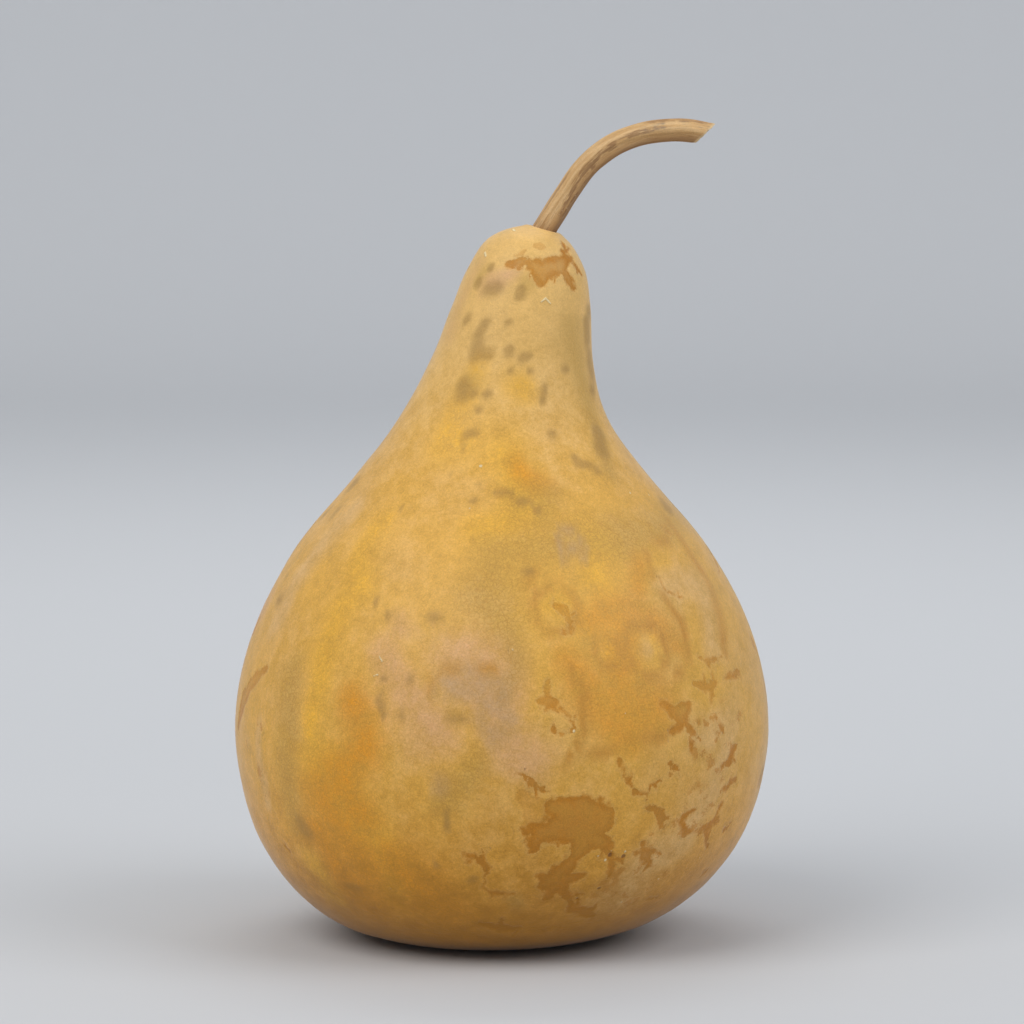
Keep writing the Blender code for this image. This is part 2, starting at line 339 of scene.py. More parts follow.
def smooth_curve(points, before, after, steps):
    """Points of a centripetal Catmull-Rom curve through all the given points."""
    row = [before, *points, after]
    curve = []
    for a, b, c, d in zip(row, row[1:], row[2:], row[3:]):
        knot_b = math.sqrt((b - a).length)
        knot_c = knot_b + math.sqrt((c - b).length)
        knot_d = knot_c + math.sqrt((d - c).length)
        for step in range(steps):
            knot = knot_b + (knot_c - knot_b) * step / steps
            ab = a.lerp(b, knot / knot_b)
            bc = b.lerp(c, (knot - knot_b) / (knot_c - knot_b))
            cd = c.lerp(d, (knot - knot_c) / (knot_d - knot_c))
            abc = ab.lerp(bc, knot / knot_c)
            bcd = bc.lerp(cd, (knot - knot_b) / (knot_d - knot_b))
            curve.append(abc.lerp(bcd, (knot - knot_b) / (knot_c - knot_b)))
    curve.append(points[-1])
    return curve


def body_outline(steps):
    """The outline in metres: points of (half width, height)."""
    half_width = (BODY_HIGH.x - BODY_LOW.x) / 2.0
    corners = [Vector((across * half_width, up * BODY_HIGH.z)) for across, up in OUTLINE]
    below = Vector((2.0 * corners[0].x - corners[1].x, 0.0))
    beyond = Vector((-corners[-2].x, corners[-2].y))
    return smooth_curve(corners, below, beyond, steps)


def body_centre(shape, height):
    """Sideways place of the body's middle at this height."""
    lean = shape.neck_lean * smooth_step(height, shape.lean_from, shape.lean_to)
    return lean - shape.flat_shift * np.exp(-height / shape.flat_fade)


def depth_share():
    """Depth of the body as a share of its width."""
    return (BODY_HIGH.y - BODY_LOW.y) / (BODY_HIGH.x - BODY_LOW.x)


# Small helpers for modelling


def deselect():
    """Leave nothing selected, because an operator acts on all that is."""
    bpy.ops.object.select_all(action="DESELECT")


def add_disc(name, sides, radius, place=(0.0, 0.0, 0.0)):
    """A flat round face, selected in edit mode, to extrude a piece from."""
    deselect()
    bpy.ops.mesh.primitive_circle_add(vertices=sides, radius=radius, fill_type="NGON",
                                      location=place)
    disc = bpy.context.object
    disc.name = disc.data.name = name
    bpy.ops.object.transform_apply()
    bpy.ops.object.mode_set(mode="EDIT")
    return disc


def extrude(step, growth=1.0, centre=(0.0, 0.0, 0.0)):
    """Extrude what is selected by a step, then widen it about a centre."""
    bpy.ops.mesh.extrude_region_move(TRANSFORM_OT_translate={"value": step})
    bpy.ops.transform.resize(value=(growth, growth, 1.0), center_override=centre)


def face_all(inside=False):
    """In edit mode, point every face outwards, or inwards."""
    bpy.ops.mesh.select_all(action="SELECT")
    bpy.ops.mesh.normals_make_consistent(inside=inside)


def apply_modifier(thing, kind, name, **settings):
    """Add a modifier, set it up and apply it."""
    modifier = thing.modifiers.new(name, kind)
    for key, value in settings.items():
        setattr(modifier, key, value)
    bpy.ops.object.modifier_apply(modifier=modifier.name)


def select_faces(thing, wanted):
    """In edit mode, select the faces that the test wants and no others."""
    bm = bmesh.from_edit_mesh(thing.data)
    for face in bm.faces:
        face.select_set(bool(wanted(face)))
    bm.select_flush_mode()
    bmesh.update_edit_mesh(thing.data)


def vertex_vectors(thing, what="co"):
    """The places (or the normals) of all the vertices, as an array."""
    vectors = np.empty(len(thing.data.vertices) * 3, np.float32)
    thing.data.vertices.foreach_get(what, vectors)
    return vectors.reshape(-1, 3).astype(float)


def set_vertex_places(thing, places):
    """Write the places of all the vertices back."""
    thing.data.vertices.foreach_set("co", places.astype(np.float32).ravel())
    thing.data.update()


def put_in_order(thing):
    """Number the vertices and faces by place; modelling numbers them anew on each run."""
    places = vertex_vectors(thing)
    order = np.lexsort(places.T)
    number = np.argsort(order)
    faces = []
    for face in thing.data.polygons:
        corners = [int(number[vert]) for vert in face.vertices]
        first = corners.index(min(corners))
        faces.append(corners[first:] + corners[:first])
    thing.data.clear_geometry()
    thing.data.from_pydata(places[order].tolist(), [], sorted(faces))


def store(thing, name, columns):
    """Keep three numbers a vertex for the material to read."""
    layer = thing.data.attributes.new(name, "FLOAT_VECTOR", "POINT")
    layer.data.foreach_set("vector", np.stack(columns, axis=1).astype(np.float32).ravel())


def wander(places, size, reach):
    """A smooth random shift in millimetres at each place, with waves of this size."""
    noise.seed_set(WANDER_SEED)
    shifts = [noise.noise_vector(Vector(place)) for place in places / (size * MM)]
    return np.array(shifts, dtype=float) * reach


# Node materials


class Value:
    """A node's output: a Python expression on it adds the Math nodes that it needs."""

    def __init__(self, maker, socket):
        self.maker = maker
        self.socket = socket

    def maths(self, operation, *others):
        return self.maker.add("ShaderNodeMath", {"operation": operation}, [self, *others])

    def __add__(self, other):
        return self.maths("ADD", other)

    def __sub__(self, other):
        return self.maths("SUBTRACT", other)

    def __rsub__(self, other):
        return self.maker.add("ShaderNodeMath", {"operation": "SUBTRACT"}, [other, self])

    def __mul__(self, other):
        return self.maths("MULTIPLY", other)

    def __truediv__(self, other):
        return self.maths("DIVIDE", other)

    def __pow__(self, other):
        return self.maths("POWER", other)

    __radd__ = __add__
    __rmul__ = __mul__

    def least(self, other):
        return self.maths("MINIMUM", other)

    def most(self, other):
        return self.maths("MAXIMUM", other)

    def step(self, low, high):
        """0 below low, 1 above high, and smooth between them."""
        settings = {"interpolation_type": "SMOOTHSTEP", "clamp": True}
        return self.maker.add("ShaderNodeMapRange", settings, [self, low, high, 0.0, 1.0])


class Maker:
    """Adds nodes to one material."""

    def __init__(self, name):
        self.material = bpy.data.materials.new(name)
        self.material.use_nodes = True
        self.tree = self.material.node_tree
        self.shader = self.tree.nodes["Principled BSDF"]
        self.colour = None  # what the coats have made so far

    def add(self, kind, settings, values, output=0):
        """Add a node with its settings first, then its sockets' values or links."""
        node = self.tree.nodes.new(kind)
        for key, value in settings.items():
            setattr(node, key, value)
        pairs = values.items() if isinstance(values, dict) else enumerate(values)
        for key, value in pairs:
            self.feed(node.inputs[key], value)
        return Value(self, node.outputs[output])

    def feed(self, socket, value):
        """Link a Value to a socket, or set a plain number, vector or colour on it."""
        if isinstance(value, Value):
            self.tree.links.new(value.socket, socket)
        elif socket.type == "RGBA":
            socket.default_value = (*value[:3], 1.0)
        else:
            socket.default_value = value

    def surface(self, **values):
        """Feed the surface shader; an underscore in a name stands for a space."""
        for key, value in values.items():
            self.feed(self.shader.inputs[key.replace("_", " ")], value)

    def place(self):
        """Object coordinates in millimetres."""
        place = self.add("ShaderNodeTexCoord", {}, {}, "Object")
        return self.scaled(place, 1.0 / MM)

    def scaled(self, vector, scale):
        """A vector or a colour times a number."""
        return self.add("ShaderNodeVectorMath", {"operation": "SCALE"}, {0: vector, "Scale": scale})

    def noise(self, place, size, detail, roughness=0.5):
        """Noise around 0.5, with waves of this size."""
        values = {"Vector": place, "Scale": 1.0 / size, "Detail": detail, "Roughness": roughness}
        return self.add("ShaderNodeTexNoise", {}, values)

    def mix(self, share, first, second):
        """Blend two colours."""
        settings = {"data_type": "RGBA", "clamp_factor": True}
        return self.add("ShaderNodeMix", settings, {0: share, 6: first, 7: second}, 2)

    def coat(self, share, colour):
        """Blend a colour into what the coats have made so far."""
        self.colour = self.mix(share, self.colour, colour)

    def split(self, vector):
        """The three numbers of a vector."""
        return [self.add("ShaderNodeSeparateXYZ", {}, [vector], axis) for axis in "XYZ"]

    def attribute(self, name):
        """A vector kept on the mesh."""
        return self.add("ShaderNodeAttribute", {"attribute_name": name}, {}, "Vector")

    def bump(self, height, strength):
        """A normal from a height in millimetres."""
        return self.add("ShaderNodeBump", {}, {"Strength": strength, "Distance": MM,
                                               "Height": height})


# The body


def raise_body(shape):
    """Extrude the flat spot ring by ring up to the crown, and subdivide it."""
    rings = body_outline(2)[:-1]
    rings.append(body_outline(12)[-2])
    centres = [float(body_centre(shape, ring.y)) for ring in rings]
    body = add_disc("gourd_skin", BODY_SIDES, rings[0].x, (centres[0], 0.0, 0.0))
    bpy.ops.transform.resize(value=(1.0, depth_share(), 1.0), center_override=(centres[0], 0, 0))
    for below, above, start, end in zip(rings, rings[1:], centres, centres[1:]):
        step = (end - start, 0.0, above.y - below.y)
        extrude(step, above.x / below.x, (end, 0.0, above.y))
    face_all()
    select_faces(body, lambda face: face.normal.z < -0.9 and len(face.verts) == BODY_SIDES)
    for thickness in (3 * MM, 7 * MM, 7 * MM, 6 * MM):
        bpy.ops.mesh.inset(thickness=thickness)
    bpy.ops.object.mode_set(mode="OBJECT")
    put_in_order(body)
    apply_modifier(body, "SUBSURF", "round_skin", levels=2, render_levels=2)
    return body


class Skin:
    """Each vertex's turn from the front in degrees, its half width in millimetres, and its
    way up the outline from the flat spot's edge in millimetres."""

    def __init__(self, body, shape):
        outline = body_outline(40)
        self.widths = np.array([point.x for point in outline]) / MM
        self.heights = np.array([point.y for point in outline]) / MM
        steps = np.hypot(np.diff(self.widths), np.diff(self.heights))
        self.ways = np.concatenate([[0.0], np.cumsum(steps)])
        self.places = vertex_vectors(body)
        self.height = self.places[:, 2] / MM
        across = self.places[:, 0] - body_centre(shape, self.places[:, 2])
        deep = self.places[:, 1] / depth_share()
        self.turn = np.degrees(np.arctan2(across, -deep))
        self.radius = np.hypot(across, deep) / MM
        self.underside = self.height < UNDERSIDE
        self.way = np.where(self.underside, self.radius - self.widths[0], self.way_at(self.height))

    def way_at(self, height):
        """The way up the outline to this height."""
        return np.interp(height, self.heights, self.ways)

    def settle(self, body, shape):
        """Put every vertex on the outline: the sides sideways, the crown up or down."""
        side = smooth_step(self.height, 0.5, 2.0) * (1.0 - smooth_step(self.height, 226.0, 231.0))
        wanted = np.interp(self.height, self.heights, self.widths)
        growth = 1.0 + side * (wanted / np.maximum(self.radius, 0.01) - 1.0)
        centre = body_centre(shape, self.places[:, 2])
        self.places[:, 0] = centre + (self.places[:, 0] - centre) * growth
        self.places[:, 1] *= growth
        crown = smooth_step(self.height, 224.0, 229.0)
        top = self.heights > 200.0
        wanted = np.interp(self.radius, self.widths[top][::-1], self.heights[top][::-1])
        self.places[:, 2] += crown * (wanted - self.height) * MM
        set_vertex_places(body, self.places)

    def depth(self, strokes, shift, softness=None):
        """How deep each vertex lies inside the strokes, in millimetres, below 0 outside.

        With a softness, the answer runs from 0 outside to 1 inside, over that share of
        each stroke's half width.
        """
        deepest = np.full(len(self.turn), 0.0 if softness else -50.0)
        for stroke in strokes:
            for start, end in zip(stroke, stroke[1:] or stroke):
                swing = (self.turn - start[0] + 180.0) % 360.0 - 180.0
                u = self.radius * np.radians(swing) + shift[:, 0]
                v = self.way - self.way_at(start[1]) + shift[:, 1]
                length_u = self.radius * math.radians(end[0] - start[0])
                length_v = self.way_at(end[1]) - self.way_at(start[1])
                share = (u * length_u + v * length_v) / (length_u**2 + length_v**2 + 1e-6)
                share = np.clip(share, 0.0, 1.0)
                half = start[2] + (end[2] - start[2]) * share
                depth = half - np.hypot(u - share * length_u, v - share * length_v)
                if softness:
                    reach = np.maximum(half * softness, 0.8)
                    depth = smooth_step(depth, -reach, reach)
                deepest = np.maximum(deepest, depth)
        return deepest


def turned(length, width=BELLY_WIDTH):
    """The degrees that a length turns through, where the body has this half width."""
    return math.degrees(length / width)


def stretched(height):
    """The degrees that a millimetre of a small mark turns through at this height."""
    return 40.0 / np.interp(height, (0, 70, 150, 200, 240), (60, 90, 53, 26, 16))


def rings_of(circles, half):
    """Closed round strokes from (turn, height, radius) circles."""
    corners = [math.tau * number / 10 for number in range(11)]
    return [[(turn + turned(1.0) * radius * math.cos(a), height + radius * math.sin(a), half)
             for a in corners] for turn, height, radius in circles]


def marks_behind(draw):
    """Tears, film patches and mould on the sides and back, like the ones in front."""
    tears = []
    mould = []
    for number in range(46):
        turn = draw.uniform(78, 285)
        height = draw.uniform(16, 92) if number % 4 else draw.uniform(92, 150)
        half = draw.uniform(0.8, 1.7)
        for arm in range(draw.integers(2, 4)):
            heading = draw.uniform(0, math.tau)
            reach = draw.uniform(3, 8)
            bend = heading + draw.uniform(-0.9, 0.9)
            middle = (turn + turned(reach * 0.5 * math.cos(heading)),
                      height + reach * 0.5 * math.sin(heading), half * 0.55)
            end = (middle[0] + turned(reach * 0.5 * math.cos(bend)),
                   middle[1] + reach * 0.5 * math.sin(bend), 0.4)
            tears.append([(turn, height, half), middle, end])
    for turn, height, size in PATCHES_BEHIND:
        for lobe in range(7):
            heading = draw.uniform(0, math.tau)
            reach = draw.uniform(0.4, 1.6) * size
            spread = turned(1.0, BELLY_WIDTH if height < 180 else NECK_WIDTH)
            tears.append([(turn, height, size * 0.5),
                          (turn + reach * spread * math.cos(heading),
                           height + reach * math.sin(heading) * 0.8, draw.uniform(0.7, 2.4))])
    for spot in range(70):
        turn = draw.uniform(72, 290)
        height = draw.uniform(120, 226) if spot % 3 else draw.uniform(30, 120)
        half = draw.uniform(0.7, 3.2)
        slide = draw.uniform(-1, 1) * half
        mould.append([(turn, height, half),
                      (turn + slide * stretched(height), height + slide * 0.4, half)])
    return tears, mould


def fray(strokes, draw):
    """Short torn twigs along the edges of the strokes."""
    twigs = []
    for stroke in strokes:
        for start, end in zip(stroke, stroke[1:]):
            share = draw.uniform(0.1, 0.9)
            turn, height, half = (a + (b - a) * share for a, b in zip(start, end))
            heading = draw.uniform(0, math.tau)
            reach = half + draw.uniform(0.8, 2.8)
            twigs.append([(turn, height, min(half, 1.0)),
                          (turn + reach * stretched(height) * math.cos(heading),
                           height + reach * math.sin(heading), 0.35)])
    return twigs


def refine(body, shape, strokes, crumbs, foot):
    """Give the skin a finer mesh where its film ends, at its crumbs and around the stem."""
    for reach, near_crumbs, rounds in ((3.0, 3.5, 0), (1.5, 2.0, 1), (0.0, 1.0, 2)):
        skin = Skin(body, shape)
        shift = np.zeros((len(skin.turn), 2))
        wanted = np.abs(skin.depth(strokes, shift)) < reach
        wanted |= skin.depth(crumbs, shift) > -near_crumbs
        if rounds < 2:
            wanted |= np.linalg.norm(skin.places - np.array(foot), axis=1) < 9.0 * MM
            wanted |= skin.underside & (skin.radius < 11.0)
        bpy.ops.object.mode_set(mode="EDIT")
        select_faces(body, lambda face: any(wanted[vert.index] for vert in face.verts))
        bpy.ops.mesh.subdivide(number_cuts=1)
        bpy.ops.object.mode_set(mode="OBJECT")
        put_in_order(body)
        Skin(body, shape).settle(body, shape)


def paint_body(body, shape, foot, axis):
    """Shape the skin's small relief, and keep its stains and marks for the material."""
    draw = np.random.default_rng(MARKS_SEED)
    tears, mould_behind = marks_behind(draw)
    bare = PEEL + tears + fray(PEEL, draw)
    pits = [[pit] for pit in PITS]
    refine(body, shape, bare + FAINT_PEEL, CRUMBS + pits, foot)
    skin = Skin(body, shape)
    slow = wander(skin.places, 19.0, 5.0) + wander(skin.places, 6.0, 1.6)
    quick = wander(skin.places, 4.2, 1.1) + wander(skin.places, 1.5, 0.5)
    still = quick * 0.25

    yellow = skin.depth(YELLOW, slow, 0.95)
    brown = skin.depth(BROWN, slow, 0.9)
    pink = skin.depth(PINK, slow, 1.0)
    olive = skin.depth(OLIVE, slow, 0.9)
    # pale film, and along the left edge a painted sheen
    pale = skin.depth(PALE, slow, 0.9)
    bruise = skin.depth(BRUISE + rings_of([(20, 137.5, 6.0)], 1.0), slow * 0.4, 0.9)
    halo = skin.depth(HALOES + rings_of(HALO_RINGS, 1.5), slow * 0.25, 0.8)
    mould = skin.depth(MOULD + mould_behind, quick * 0.6, 1.0)
    film_gone = np.clip(skin.depth(bare, quick), -3.0, 3.0)
    film_thin = np.clip(skin.depth(FAINT_PEEL, quick), -3.0, 3.0)
    crumb = np.clip(skin.depth(CRUMBS, still), -2.0, 2.0)
    pit = np.clip(skin.depth(pits, still), -2.0, 2.0)
    store(body, "skin_tint", (yellow, brown, pink))
    store(body, "skin_cast", (olive, pale, bruise))
    store(body, "skin_marks", (mould, film_gone, crumb))
    store(body, "skin_specks", (halo, film_thin, pit))

    places = skin.places
    rise = wander(places, 36.0, 1.0)[:, 0] * shape.swell
    rise += wander(places, 9.0, 1.0)[:, 0] * 0.12 * MM
    rise -= smooth_step(film_gone, -0.25, 0.25) * shape.film
    rise += smooth_step(crumb, -0.3, 0.3) * 0.2 * MM - smooth_step(pit, -0.3, 0.4) * 0.35 * MM
    rise *= smooth_step(skin.height, 0.6, 5.0)
    away = places - np.array(foot)
    away = np.linalg.norm(away - np.outer(away @ np.array(axis), np.array(axis)), axis=1) / MM
    near = (skin.height > 225.0) & (away < 12.0)
    ripple = 0.25 * wander(places, 3.0, 1.0)[:, 1]
    collar = 0.35 * np.exp(-(((away - 5.6 + ripple) / 1.3) ** 2))
    seat = 1.4 * (1.0 - smooth_step(away, 3.9, 4.9))
    rise += np.where(near, collar - seat, 0.0) * MM
    scar = skin.underside * (1.0 - smooth_step(skin.radius, 3.0, 9.0))
    nub = skin.underside * (1.0 - smooth_step(skin.radius + ripple * 2.0, 1.6, 3.0))
    rise -= (0.8 * scar - 0.6 * nub) * MM
    set_vertex_places(body, places + vertex_vectors(body, "normal") * rise[:, None])


def fine_net(make, place):
    """A net of fine bent lines: 1 on a line, and 0 between them."""
    jitter = make.add("ShaderNodeTexNoise", {}, {"Vector": place, "Scale": 0.9, "Detail": 2.0},
                      "Color")
    bent = make.add("ShaderNodeVectorMath", {"operation": "ADD"}, [place, make.scaled(jitter, 1.6)])
    cell = make.add("ShaderNodeTexVoronoi", {"feature": "DISTANCE_TO_EDGE"},
                    {"Vector": bent, "Scale": 0.62})
    return 1.0 - cell.step(0.0, 0.20)


def skin_material(colours):
    """Mottled, leathery skin under a thin film that has torn off in places."""
    make = Maker("gourd_skin")
    place = make.place()
    across, behind, height = make.split(place)
    yellow, brown, pink = make.split(make.attribute("skin_tint"))
    olive, pale, bruise = make.split(make.attribute("skin_cast"))
    mould, film_gone, crumb = make.split(make.attribute("skin_marks"))
    halo, film_thin, pit = make.split(make.attribute("skin_specks"))
    cloud = make.noise(place, 26.0, 4.0, 0.55)
    mottle = make.noise(place, 6.5, 5.0, 0.62)
    felt = make.noise(place, 1.5, 3.0, 0.7)
    speck = make.noise(place, 0.5, 2.0, 0.6)
    lines = fine_net(make, place)
    patchy = (mottle - 0.5) * 4.0 + (felt - 0.5) * 2.0
    patchy_height = height + patchy * 10.0
    low = 1.0 - patchy_height.step(4.0, 82.0)
    high = patchy_height.step(152.0, 205.0)
    foot_height = height + patchy * 6.0

    # The ground, from the belly to the neck and to the floor
    make.colour = colours.ochre
    make.coat((cloud + patchy * 0.12).step(0.40, 0.70) * 0.4, colours.straw)
    make.coat(high * 0.7, colours.neck)
    make.coat(low * 0.76, colours.brown)

    # Broad soft stains, then rings and mould
    ebb = 1.0 + patchy * 0.5
    make.coat(yellow * ebb * 0.75, colours.yellow)
    flush = 0.76 - across.step(-30.0, 40.0) * 0.22 - behind.step(-20.0, 40.0) * 0.28
    make.coat(brown * ebb * flush, colours.brown)
    make.coat(pink * ebb * 0.6, colours.pink)
    # Pale film, and along the left edge a painted sheen
    make.coat(pale * ebb * 0.75, colours.straw)
    grains = (lines * 0.7 + (felt - 0.5) * 2.0).step(0.1, 1.0)
    make.coat(olive * ebb * (0.40 + grains * 0.22 * (1.0 - high)), colours.olive)
    make.coat(bruise * ebb * 0.52, colours.grey)
    make.coat(halo * ebb * (cloud.step(0.40, 0.62) * 0.3 + 0.52), colours.ring)
    spots = mould * (1.0 + patchy * 0.4)
    make.coat(spots.step(0.05, 0.95) * 0.58, colours.mould)

    # Where the film is thin or gone, with a pale lip round each bare patch
    ragged = (make.noise(place, 3.5, 6.0, 0.75) - 0.5) * 5.0
    thin = (film_thin + ragged).step(-0.2, 0.2)
    blur = mottle.step(0.42, 0.60) * 0.9 + 0.14
    gone = ((film_gone + ragged) / blur).step(-1.0, 1.0)
    lip = (film_gone + ragged).step(-1.1, -0.3) - gone
    make.coat(lip * 0.22, colours.straw)
    make.coat(thin * 0.35, colours.bare)
    deep = 0.90 - height.step(62.0, 95.0) * (1.0 - high) * 0.30 - film_gone.step(0.8, 3.0) * 0.24
    deep = deep + (cloud - 0.5) * 0.8 + patchy * 0.25
    make.coat(gone * deep, colours.bare)

    # Fine cracks and chips in the worn film
    seam = make.noise(place, 8.0, 5.0, 0.62)
    chips = make.noise(place, 6.0, 5.0, 0.64)
    crack = (1.0 - ((seam - 0.5) ** 2.0).step(0.00005, 0.0004)) * chips.step(0.50, 0.56)
    worn = pale * (1.0 - height.step(80.0, 105.0)) + (1.0 - foot_height.step(8.0, 40.0)) * 0.5
    flakes = (crack * 0.8).most(chips.step(0.578, 0.594)) * worn.step(0.15, 0.5)
    make.coat(flakes * 0.6, colours.bare)

    # Veins, pits and crumbs, then grain and the painted shade on the underside
    stained = (brown + yellow * 0.6 + olive).least(1.0)
    veins = grains * (0.2 + stained * 0.22) * (1.0 - pale * 0.6) * (1.0 - high * 0.7)
    make.coat(veins * (0.4 + cloud * 1.2), colours.vein)
    hollow = pit.step(-0.2, 0.3)
    dust = (crumb + ragged * 0.3).step(-0.12, 0.12)
    make.coat(hollow * 0.75, colours.wood_dark)
    make.coat(dust * 0.85, colours.crumb)
    shade = (felt - 0.5) * 0.5 + (speck - 0.5) * 0.6 + (mottle - 0.5) * 0.56
    make.colour = make.scaled(make.colour, 1.0 + shade * (1.0 - high * 0.35))
    # Painted shade: the skin is darkened towards the floor, from about 46 mm down
    make.coat((1.0 - foot_height.step(2.0, 46.0)) * 0.8, colours.painted_underside_shade)

    roughness = 0.47 + (felt - 0.5) * 0.12 + spots.step(0.1, 1.0) * 0.10 + gone * 0.05 + dust * 0.3
    relief = (felt * 0.16 + speck * 0.09 + mottle * 0.16 - lines * 0.015 + dust * 0.15
              - hollow * 0.15 - gone.most(flakes) * 0.05)
    make.surface(Base_Color=make.colour, Roughness=roughness, Normal=make.bump(relief, 0.8),
                 Specular_IOR_Level=0.3, Sheen_Weight=0.22, Sheen_Roughness=0.35)
    return make.material


class GOURD_OT_body(bpy.types.Operator):
    """Model the gourd's body, from its flat spot up to its crown"""

    bl_idname = "gourd.body"
    bl_label = "Gourd body"

    def execute(self, context):
        scene = context.scene
        path = stem_line()
        body = raise_body(scene.gourd_shape)
        paint_body(body, scene.gourd_shape, path[0], (path[6] - path[0]).normalized())
        bpy.ops.object.shade_smooth()
        body.data.materials.append(skin_material(scene.gourd_colours))
        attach(body, "root")
        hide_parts("gourd_body")
        return {"FINISHED"}


# The stem


def stem_line():
    """The stem's middle line in metres, from its foot to past its cut end."""
    points = [STEM_LOW + Vector(point) * MM for point in STEM_PATH]
    before = points[0] * 2.0 - points[1]
    after = points[-1] * 2.0 - points[-2]
    return smooth_curve(points, before, after, 24)


def stem_course():
    """Close points of the stem's middle line, the way along it to each, and its headings."""
    line = np.array([np.array(point) for point in stem_line()])
    steps = np.linalg.norm(np.diff(line, axis=0), axis=1)
    heading = np.gradient(line, axis=0)
    heading /= np.linalg.norm(heading, axis=1)[:, None]
    return line, np.concatenate([[0.0], np.cumsum(steps)]), heading


def upward(along):
    """For each heading, the direction square to it in the plane that the stem bends in."""
    up = np.cross(along, SIDEWAYS)
    return up / np.linalg.norm(up, axis=1)[:, None]


def stem_cut():
    """A place on the stem's cut in metres, and the direction that the cut faces."""
    return STEM_LOW + Vector(CUT_PLACE) * MM, Vector(CUT_SLANT).normalized()


def raise_stem(shape):
    """Extrude a straight round stalk, ring by ring, and subdivide it."""
    path = stem_line()
    reach = sum((after - before).length for before, after in zip(path, path[1:]))
    stem = add_disc("stem_stalk", STEM_SIDES, shape.radius)
    for _ in range(STEM_ROWS):
        extrude((0.0, 0.0, reach / STEM_ROWS))
    face_all()
    bpy.ops.mesh.subdivide(number_cuts=1, smoothness=0.0)
    bpy.ops.object.mode_set(mode="OBJECT")
    put_in_order(stem)
    return stem


def bend_stem(stem, shape):
    """Give the stalk its ridges and fibres, then bend it along the stem's middle line."""
    line, ways, heading = stem_course()
    places = vertex_vectors(stem)
    way = places[:, 2]
    turn = np.arctan2(places[:, 1], places[:, 0])
    core = np.hypot(places[:, 0], places[:, 1]) / shape.radius
    twist = turn - way / MM * 0.008
    fibre_place = np.stack([np.cos(turn) * 6.0, np.sin(turn) * 6.0, way / MM * 0.09], axis=1) * MM
    fibres = wander(fibre_place, 1.1, 1.0)[:, 0] * 0.16 * MM
    coarse = wander(fibre_place, 3.4, 1.0)[:, 1] * 0.30 * MM
    radius = shape.radius + shape.ridge * np.cos(5.0 * twist) + fibres + coarse
    radius += shape.foot_swell * np.exp(-way / (5.0 * MM))
    knot = wander(places, 9.0, 1.0)[:, 2] * 0.18 * MM
    radius = (radius + knot) * core

    centre = np.stack([np.interp(way, ways, line[:, axis]) for axis in range(3)], axis=1)
    along = np.stack([np.interp(way, ways, heading[:, axis]) for axis in range(3)], axis=1)
    up = upward(along)
    side = np.cross(up, along)
    set_vertex_places(stem, centre + side * (np.cos(turn) * radius)[:, None]
                      + up * (np.sin(turn) * radius)[:, None])


def cut_stem(stem):
    """Cut the end off at a slant, and give the cut a torn edge and a sunken pith."""
    cut_place, slant = stem_cut()
    bpy.ops.object.mode_set(mode="EDIT")
    bpy.ops.mesh.select_all(action="SELECT")
    bpy.ops.mesh.bisect(plane_co=cut_place, plane_no=slant, use_fill=True, clear_outer=True)
    select_faces(stem, lambda face: face.normal.dot(slant) > 0.97 and len(face.verts) > 30)
    for thickness, depth in ((0.35, 0.0), (0.6, -0.15), (0.6, -0.05), (0.5, -0.5), (0.7, -0.4)):
        bpy.ops.mesh.inset(thickness=thickness * MM, depth=depth * MM)
    bpy.ops.mesh.poke()
    bpy.ops.object.mode_set(mode="OBJECT")
    put_in_order(stem)
    places = vertex_vectors(stem)
    beyond = (places - np.array(cut_place)) @ np.array(slant) / MM
    torn = wander(places, 1.6, 1.0)[:, 0] * 0.55 + wander(places, 0.6, 1.0)[:, 1] * 0.3
    places -= np.outer(np.where(beyond > -1.2, np.abs(torn), 0.0) * MM, np.array(slant))
    set_vertex_places(stem, places)


def grain_stem(stem):
    """Keep each vertex's place on the straightened stem, for the grain to follow."""
    places = vertex_vectors(stem)
    line, ways, heading = stem_course()
    nearest = np.array([np.argmin(np.linalg.norm(line - place, axis=1)) for place in places])
    off = places - line[nearest]
    along = heading[nearest]
    slide = (off * along).sum(axis=1)
    rise = (off * upward(along)).sum(axis=1)
    store(stem, "stem_grain", (off @ SIDEWAYS / MM, rise / MM, (ways[nearest] + slide) / MM))
    cut_place, slant = stem_cut()
    beyond = (places - np.array(cut_place)) @ np.array(slant) / MM
    from_axis = np.linalg.norm(off - along * slide[:, None], axis=1) / MM
    store(stem, "stem_end", (beyond, from_axis, np.zeros(len(beyond))))


